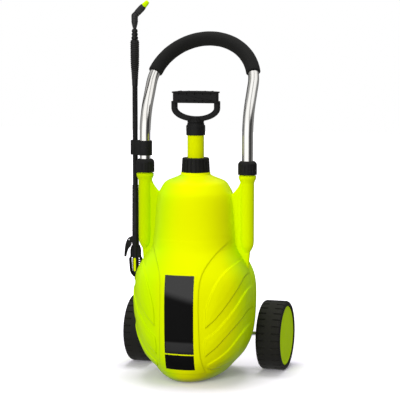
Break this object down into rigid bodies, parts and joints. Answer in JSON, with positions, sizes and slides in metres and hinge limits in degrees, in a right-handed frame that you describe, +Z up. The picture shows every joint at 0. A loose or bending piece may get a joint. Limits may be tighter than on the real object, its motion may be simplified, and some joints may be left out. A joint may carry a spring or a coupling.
{
  "type": "wheeled sprayer cart",
  "caption": "Upright pressure sprayer on two wheels: moulded tank with hand pump, U-shaped pull handle and a spraying lance clipped beside it.",
  "frame": {"origin": "on the floor under the pump's axis", "axes": "+Z up; the front with its label faces -Y; +X to the right seen from the front; the axle runs along X behind the tank"},
  "size_m": [0.383, 0.3232, 0.8622],
  "materials": {
    "tank_lime": "satin blow-moulded polyethylene",
    "part_lime": "glossy injection-moulded plastic",
    "label_black": "satin film",
    "black_plastic": "fine-grained moulded plastic",
    "grey_plastic": "moulded plastic",
    "red_plastic": "moulded plastic",
    "soft_rubber": "matt rubber",
    "tyre": "matt moulded rubber",
    "foam": "closed-cell foam",
    "tube_metal": "polished tube",
    "steel": "zinc-plated steel"
  },
  "bodies": {
    "cart": {"tank": "tank_lime", "front_label": "label_black", "outlet_fitting": "black_plastic", "outlet_nut": "black_plastic", "outlet_seal": "soft_rubber", "dip_tube": "grey_plastic", "dip_filter": "black_plastic", "relief_body": "black_plastic", "relief_spring": "steel", "relief_seal": "soft_rubber", "axle": "steel", "axle_rings": "steel", "axle_clips": "black_plastic", "clip_screws": "steel", "left_push_nut": "steel", "right_push_nut": "steel", "left_collet": "grey_plastic", "right_collet": "grey_plastic"},
    "relief_pull": {"relief_knob": "red_plastic"},
    "left_wheel": {"left_tyre": "tyre", "left_rim": "black_plastic", "left_cover": "part_lime"},
    "right_wheel": {"right_tyre": "tyre", "right_rim": "black_plastic", "right_cover": "part_lime"},
    "left_clamp": {"left_clamp_nut": "black_plastic"},
    "right_clamp": {"right_clamp_nut": "black_plastic"},
    "handle": {"handle_tube": "tube_metal", "foam_grip": "foam", "leg_plugs": "black_plastic", "lance_clip": "black_plastic", "clip_bolt": "steel"},
    "pump": {"pump_cylinder": "part_lime", "cylinder_cap": "black_plastic", "pump_gasket": "soft_rubber", "check_valve": "soft_rubber"},
    "neck_nut": {"pump_nut": "black_plastic"},
    "plunger": {"piston": "black_plastic", "piston_ring": "soft_rubber", "piston_rod": "steel", "pump_handle": "black_plastic", "handle_pin": "steel"},
    "lance": {"lance_tube": "black_plastic", "lower_boot": "soft_rubber", "upper_boot": "soft_rubber", "lance_seal": "soft_rubber", "valve_body": "black_plastic", "valve_inlay": "part_lime", "trigger_pin": "steel", "valve_spring": "steel", "hose_tail": "black_plastic"},
    "trigger_lever": {"trigger": "black_plastic"},
    "stem": {"valve_stem": "steel"},
    "lance_extension": {"inner_tube": "black_plastic", "nozzle_elbow": "black_plastic"},
    "nozzle": {"nozzle_cap": "black_plastic", "nozzle_tip": "part_lime"}
  },
  "joints": [
    {"name": "left_wheel_spin", "type": "hinge", "parent": "cart", "child": "left_wheel", "pos_m": [-0.1625, 0.11, 0.081], "axis": [1, 0, 0], "continuous": true},
    {"name": "right_wheel_spin", "type": "hinge", "parent": "cart", "child": "right_wheel", "pos_m": [0.1625, 0.11, 0.081], "axis": [1, 0, 0], "continuous": true},
    {"name": "left_clamp_turn", "type": "hinge", "parent": "cart", "child": "left_clamp", "pos_m": [-0.1225, 0, 0.48], "axis": [0, 0, 1], "range_deg": [0, 180]},
    {"name": "right_clamp_turn", "type": "hinge", "parent": "cart", "child": "right_clamp", "pos_m": [0.1225, 0, 0.48], "axis": [0, 0, 1], "range_deg": [0, 180]},
    {"name": "handle_slide", "type": "slide", "parent": "cart", "child": "handle", "axis": [0, 0, 1], "range_m": [0, 0.1]},
    {"name": "pump_lift", "type": "slide", "parent": "cart", "child": "pump", "axis": [0, 0, 1], "range_m": [0, 0.36]},
    {"name": "neck_nut_turn", "type": "hinge", "parent": "pump", "child": "neck_nut", "pos_m": [0, 0, 0.488], "axis": [0, 0, 1], "range_deg": [0, 360]},
    {"name": "plunger_slide", "type": "slide", "parent": "pump", "child": "plunger", "axis": [0, 0, 1], "range_m": [0, 0.28]},
    {"name": "lance_unclip", "type": "slide", "parent": "handle", "child": "lance", "axis": [-1, 0, 0], "range_m": [0, 0.08]},
    {"name": "trigger_squeeze", "type": "hinge", "parent": "lance", "child": "trigger_lever", "pos_m": [-0.1651, 0.014, 0.308], "axis": [0, -1, 0], "range_deg": [0, 10], "stiffness_Nm_per_rad": 0.5, "springref_deg": -2.86},
    {"name": "stem_push", "type": "slide", "parent": "lance", "child": "stem", "axis": [1, 0, 0], "range_m": [0, 0.00158]},
    {"name": "lance_extend", "type": "slide", "parent": "lance", "child": "lance_extension", "axis": [0, 0, 1], "range_m": [0, 0.25]},
    {"name": "nozzle_turn", "type": "hinge", "parent": "lance_extension", "child": "nozzle", "pos_m": [-0.1515, 0.014, 0.827], "axis": [0.7071, 0, 0.7071], "range_deg": [0, 180]},
    {"name": "relief_pull_out", "type": "slide", "parent": "cart", "child": "relief_pull", "axis": [0, 1, 0], "range_m": [0, 0.004], "stiffness_N_per_m": 1500, "springref_m": -0.002}
  ],
  "couplings": [
    {"joint": "stem_push", "follows": "trigger_squeeze", "m_per_rad": 0.009}
  ]
}
